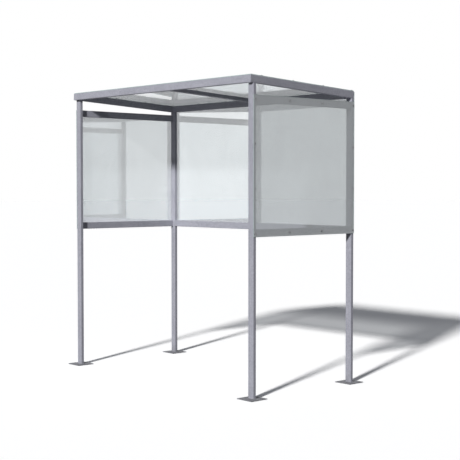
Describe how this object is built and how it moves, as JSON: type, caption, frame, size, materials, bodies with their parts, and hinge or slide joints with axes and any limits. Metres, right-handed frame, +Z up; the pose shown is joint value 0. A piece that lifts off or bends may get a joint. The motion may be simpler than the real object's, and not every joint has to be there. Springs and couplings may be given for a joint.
{
  "type": "smoking shelter",
  "caption": "Open-fronted smoking shelter: galvanised tube frame on base plates, clear sheets around three sides above waist height, and a clear roof that falls to the back.",
  "frame": {"origin": "on the floor, at the centre of the four base plates", "axes": "+Z up, +X to the right along the open front, +Y from the open front to the back"},
  "size_m": [2.09, 1.08, 2.1042],
  "materials": {
    "post_steel": "hot-dip galvanised, dull",
    "plate_steel": "hot-dip galvanised, dull",
    "roof_steel": "hot-dip galvanised, dull",
    "rail_steel": "hot-dip galvanised, dull",
    "panel_sheet": "clear polycarbonate, glossy",
    "roof_sheet": "clear polycarbonate, glossy"
  },
  "bodies": {
    "root": {"post_front_left": "post_steel", "post_front_right": "post_steel", "post_back_left": "post_steel", "post_back_right": "post_steel", "plate_front_left": "plate_steel", "plate_front_right": "plate_steel", "plate_back_left": "plate_steel", "plate_back_right": "plate_steel", "roof_front_beam": "roof_steel", "roof_back_beam": "roof_steel", "roof_left_beam": "roof_steel", "roof_right_beam": "roof_steel", "roof_middle_rafter": "roof_steel", "roof_sheet": "roof_sheet", "left_top_rail": "rail_steel", "left_bottom_rail": "rail_steel", "right_top_rail": "rail_steel", "right_bottom_rail": "rail_steel", "back_bottom_rail": "rail_steel", "left_panel": "panel_sheet", "back_panel": "panel_sheet", "right_panel": "panel_sheet"}
  },
  "joints": []
}
